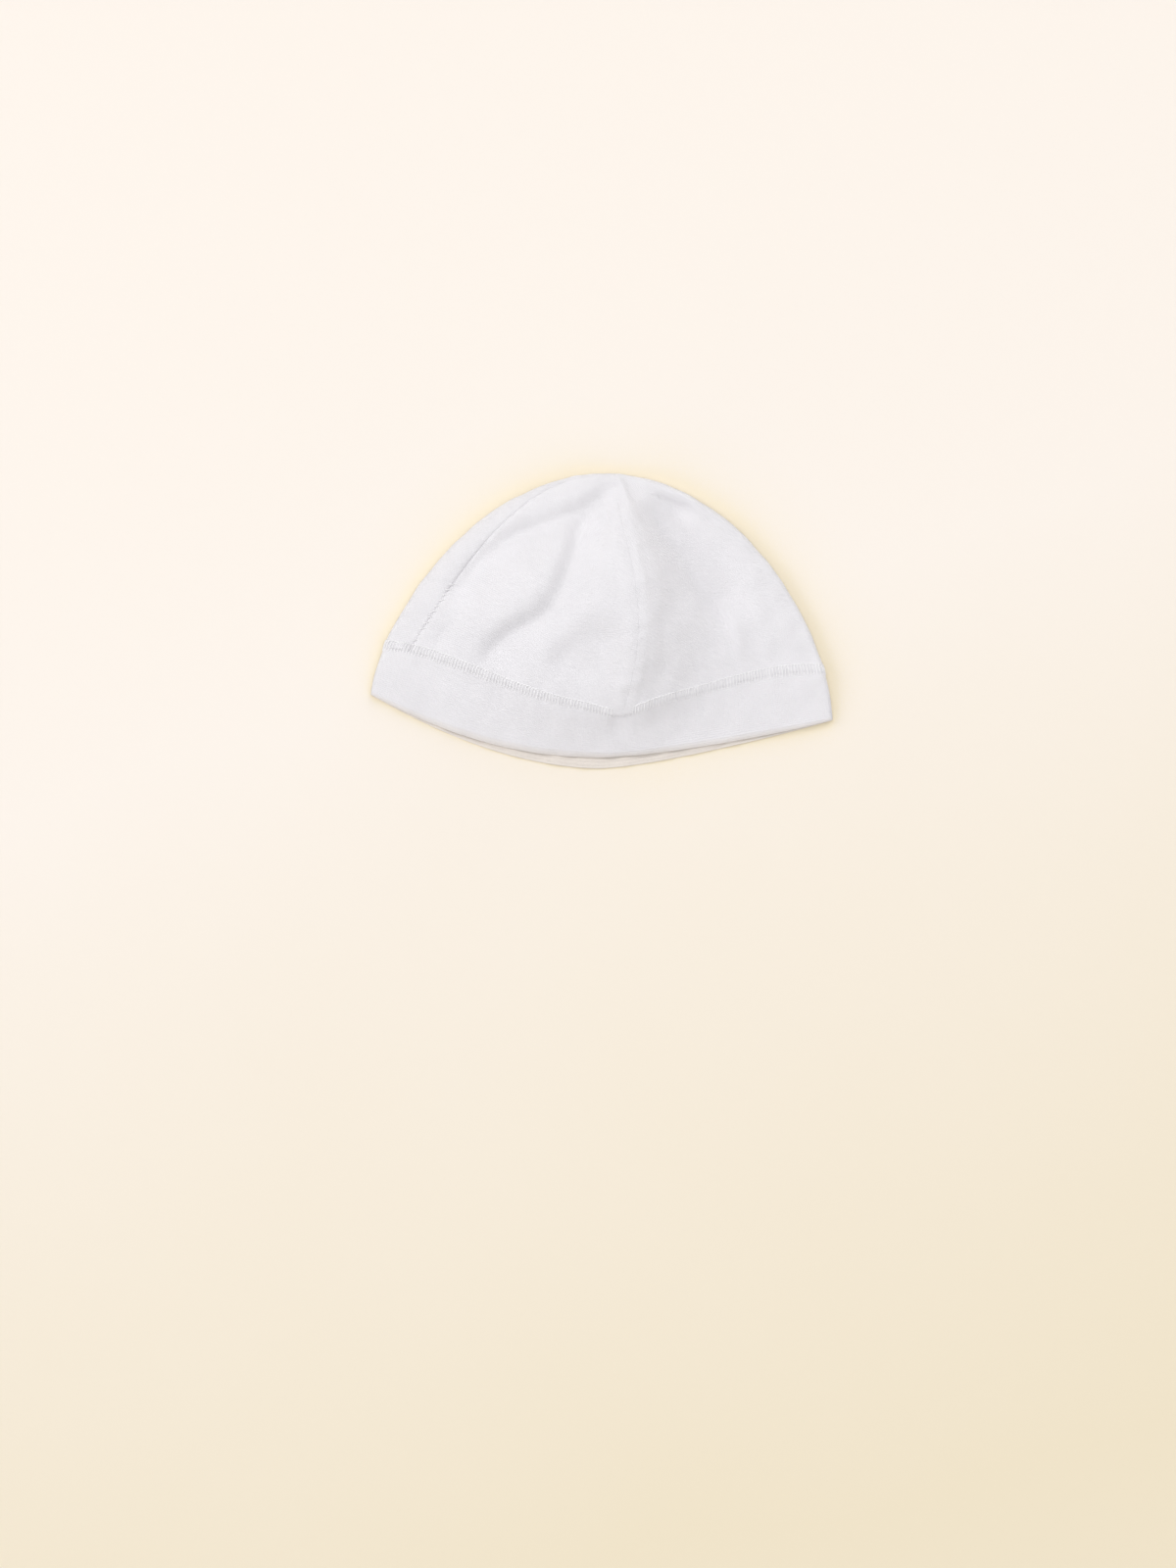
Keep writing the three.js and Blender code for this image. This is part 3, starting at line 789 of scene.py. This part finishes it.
def knit_height(tree):
    """Plain knitting: columns of V-shaped loops, from 0 between them to 1 on top of them."""
    flat_x, flat_y = flat_place(tree)
    in_wale = combine(tree, "FRACT", combine(tree, "DIVIDE", flat_x, WALE_WIDTH))
    outwards = combine(tree, "ABSOLUTE", combine(tree, "MULTIPLY_ADD", in_wale, 2, -1))
    from_leg = combine(tree, "MULTIPLY_ADD", outwards, 2, -1)
    leg = combine(tree, "SUBTRACT", 1, combine(tree, "MULTIPLY", from_leg, from_leg))
    course = combine(tree, "DIVIDE", flat_y, COURSE_HEIGHT)
    phase = combine(tree, "MULTIPLY_ADD", outwards, LOOP_SLANT, course)
    wave = combine(tree, "COSINE", combine(tree, "MULTIPLY", phase, 2 * math.pi))
    return combine(tree, "MULTIPLY", leg, combine(tree, "MULTIPLY_ADD", wave, LOOP_WAVE, 1 - LOOP_WAVE))


def new_material(name, roughness):
    """A new material with its node tree and its shader."""
    material = bpy.data.materials.new(name)
    material.use_nodes = True
    tree = material.node_tree
    shader = tree.nodes["Principled BSDF"]
    shader.inputs["Roughness"].default_value = roughness
    return material, tree, shader


def jersey(name, shade, tint, inside=None):
    """White cotton jersey, unevenly white over its face, with painted shade that darkens it a little
    between its loops. The half of a folded piece that lies inside can take a painted warm shade too."""
    material, tree, shader = new_material(name, COTTON_ROUGHNESS)
    shader.inputs["Sheen Weight"].default_value = COTTON_SHEEN
    shader.inputs["Sheen Roughness"].default_value = COTTON_SHEEN_ROUGHNESS
    height = knit_height(tree)
    uneven = combine(tree, "MULTIPLY", mottle(tree, **COTTON_MOTTLE), 1 - KNIT_SHADE_SHARE)
    # Painted shade: the cloth is made a little darker in the hollows between its loops.
    tone = combine(tree, "MULTIPLY_ADD", height, KNIT_SHADE_SHARE, uneven)
    colour = ramp(tree, tone, *TONE_ENDS, shade, tint)
    if inside:
        from_inside = combine(tree, "DIVIDE", flat_place(tree)[1], 2 * BAND_HEIGHT)
        inside_shade = ramp(tree, from_inside, *INSIDE_SHADE_ENDS, inside, WHITE)
        colour = multiply(tree, colour, inside_shade)
    tree.links.new(colour, shader.inputs["Base Color"])
    add_bump(tree, shader, height, KNIT_RELIEF)
    return material


def cotton_thread(name, shade, tint):
    """White sewing thread with a fibrous face."""
    material, tree, shader = new_material(name, THREAD_ROUGHNESS)
    shader.inputs["Sheen Weight"].default_value = THREAD_SHEEN
    fibres = mottle(tree, **THREAD_FIBRES)
    tree.links.new(ramp(tree, fibres, *FIBRE_ENDS, shade, tint), shader.inputs["Base Color"])
    add_bump(tree, shader, fibres, FIBRE_RELIEF)
    return material


def board_with_painted_shade(name, shade, tint):
    """A cream board, darker towards its near right corner, partly its own tone and partly a painted
    fall-off of the light, with a painted warm shade close beside the hat.
    """
    material, tree, shader = new_material(name, BOARD_ROUGHNESS)
    place = tree.nodes.new("ShaderNodeTexCoord")
    split = tree.nodes.new("ShaderNodeSeparateXYZ")
    tree.links.new(place.outputs["Object"], split.inputs["Vector"])
    # Darker towards the near right corner: partly the board's own tone, partly a painted fall-off of the
    # light.
    nearer = combine(tree, "MULTIPLY", split.outputs["Y"], -BOARD_TONE_AND_FALLOFF)
    corner = combine(tree, "ADD", split.outputs["X"], nearer)
    even = combine(tree, "SUBTRACT", corner, BOARD_UNEVENNESS / 2)
    noise = mottle(tree, **BOARD_MOTTLE)
    uneven = combine(tree, "MULTIPLY_ADD", noise, BOARD_UNEVENNESS, even)
    colour = ramp(tree, uneven, 0, 1, tint, shade)
    # Painted shade: the board's colour is made deeper and warmer where the hat hides the sky, and more
    # so to the right.
    open_sky = tree.nodes.new("ShaderNodeAmbientOcclusion")
    open_sky.samples = SHADE_SAMPLES
    open_sky.inputs["Distance"].default_value = SHADE_REACH * MM
    hidden = combine(tree, "SUBTRACT", 1, open_sky.outputs["AO"])
    rightwards = combine(tree, "MULTIPLY_ADD", split.outputs["X"], SHADE_GROWTH, SHADE_LEAST)
    strength = combine(tree, "MINIMUM", combine(tree, "MAXIMUM", rightwards, SHADE_LEAST), 1)
    beside = combine(tree, "MULTIPLY", hidden, strength)
    colour = multiply(tree, colour, ramp(tree, beside, 0, SHADE_FULL, WHITE, SHADE_TINT))
    tree.links.new(colour, shader.inputs["Base Color"])
    add_bump(tree, shader, mottle(tree, **BOARD_GRAIN), BOARD_RELIEF)
    return material


crown_jersey = jersey("crown_jersey", shade=(0.765, 0.748, 0.772), tint=(0.82, 0.803, 0.828))
# The inside half of the band is painted darker and warmer: a painted warm shade for the lip that lies
# under the front edge of the mouth.
band_jersey = jersey(
    "band_jersey", shade=(0.76, 0.742, 0.766), tint=(0.815, 0.797, 0.822), inside=(0.96, 0.9, 0.8))
thread = cotton_thread("thread", shade=(0.8, 0.79, 0.8), tint=(0.88, 0.87, 0.88))

# The pieces of the hat
gores = {
    "crown_front_left": make_gore(
        "front_left_gore", LEFT_SEAM, FRONT_SEAM, FRONT_CELL, (LEFT_SEED, FRONT_SEED), (0, 1),
        (LEFT_SEAM_CREASE, SEAM_CREASE_DEPTH)),
    "crown_front_right": make_gore(
        "front_right_gore", FRONT_SEAM, RIGHT_SEAM, FRONT_CELL, (FRONT_SEED, RIGHT_SEED), (1, 0),
        (SEAM_CREASE_DEPTH, SEAM_CREASE_DEPTH)),
    "crown_back_right": make_gore(
        "back_right_gore", RIGHT_SEAM, BACK_SEAM, BACK_CELL, (RIGHT_SEED, BACK_SEED), (0, 0),
        (SEAM_CREASE_DEPTH, SEAM_CREASE_DEPTH)),
    "crown_back_left": make_gore(
        "back_left_gore", BACK_SEAM, LEFT_SEAM_AGAIN, BACK_CELL, (BACK_SEED, LEFT_SEED), (0, 0),
        (SEAM_CREASE_DEPTH, LEFT_SEAM_CREASE)),
}
for node, piece in gores.items():
    piece.data.materials.append(crown_jersey)
    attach(piece, "root")
    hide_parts(node)
band_cloth = make_band()
band_cloth.data.materials.append(band_jersey)
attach(band_cloth, "root")
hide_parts("band")
stitchings = [(make_band_stitching(), "band_jersey"), (make_grin_stitching(), "crown_jersey")]
for stitching, slot in stitchings:
    stitching.data.materials.append(thread)
    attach(stitching, "root")

# Floor, lights and camera
bpy.ops.object.select_all(action="DESELECT")
bpy.ops.mesh.primitive_plane_add(size=FLOOR_SIZE)
floor = bpy.context.object
floor.name = "floor"
board = board_with_painted_shade("board", shade=(0.755, 0.665, 0.5), tint=(0.83, 0.765, 0.7))
floor.data.materials.append(board)

world = bpy.data.worlds.new("studio")
bpy.context.scene.world = world
world.use_nodes = True
background = world.node_tree.nodes["Background"]
background.inputs["Color"].default_value = (*WHITE, 1)
background.inputs["Strength"].default_value = WORLD_STRENGTH


def area_light(name, energy, size, place):
    """A square light that faces the hat."""
    data = bpy.data.lights.new(name, "AREA")
    data.energy = energy
    data.size = size
    light = bpy.data.objects.new(name, data)
    bpy.context.collection.objects.link(light)
    light.location = place
    light.rotation_euler = (-light.location).to_track_quat("-Z", "Y").to_euler()


for light_row in LIGHTS:
    area_light(*light_row)

camera_data = bpy.data.cameras.new("camera")
camera_data.sensor_width = SENSOR
camera_data.lens = SENSOR * CAMERA_HEIGHT / FRAME_LENGTH
camera = bpy.data.objects.new("camera", camera_data)
bpy.context.collection.objects.link(camera)
camera.location = (
    IMAGE_MIDDLE[0] * MM, (IMAGE_MIDDLE[1] + LYING_SHIFT) * MM, CAMERA_HEIGHT * MM)
camera.rotation_euler = (0, 0, math.radians(PICTURE_TURN))
bpy.context.scene.camera = camera
bpy.context.scene.view_settings.view_transform = "Standard"
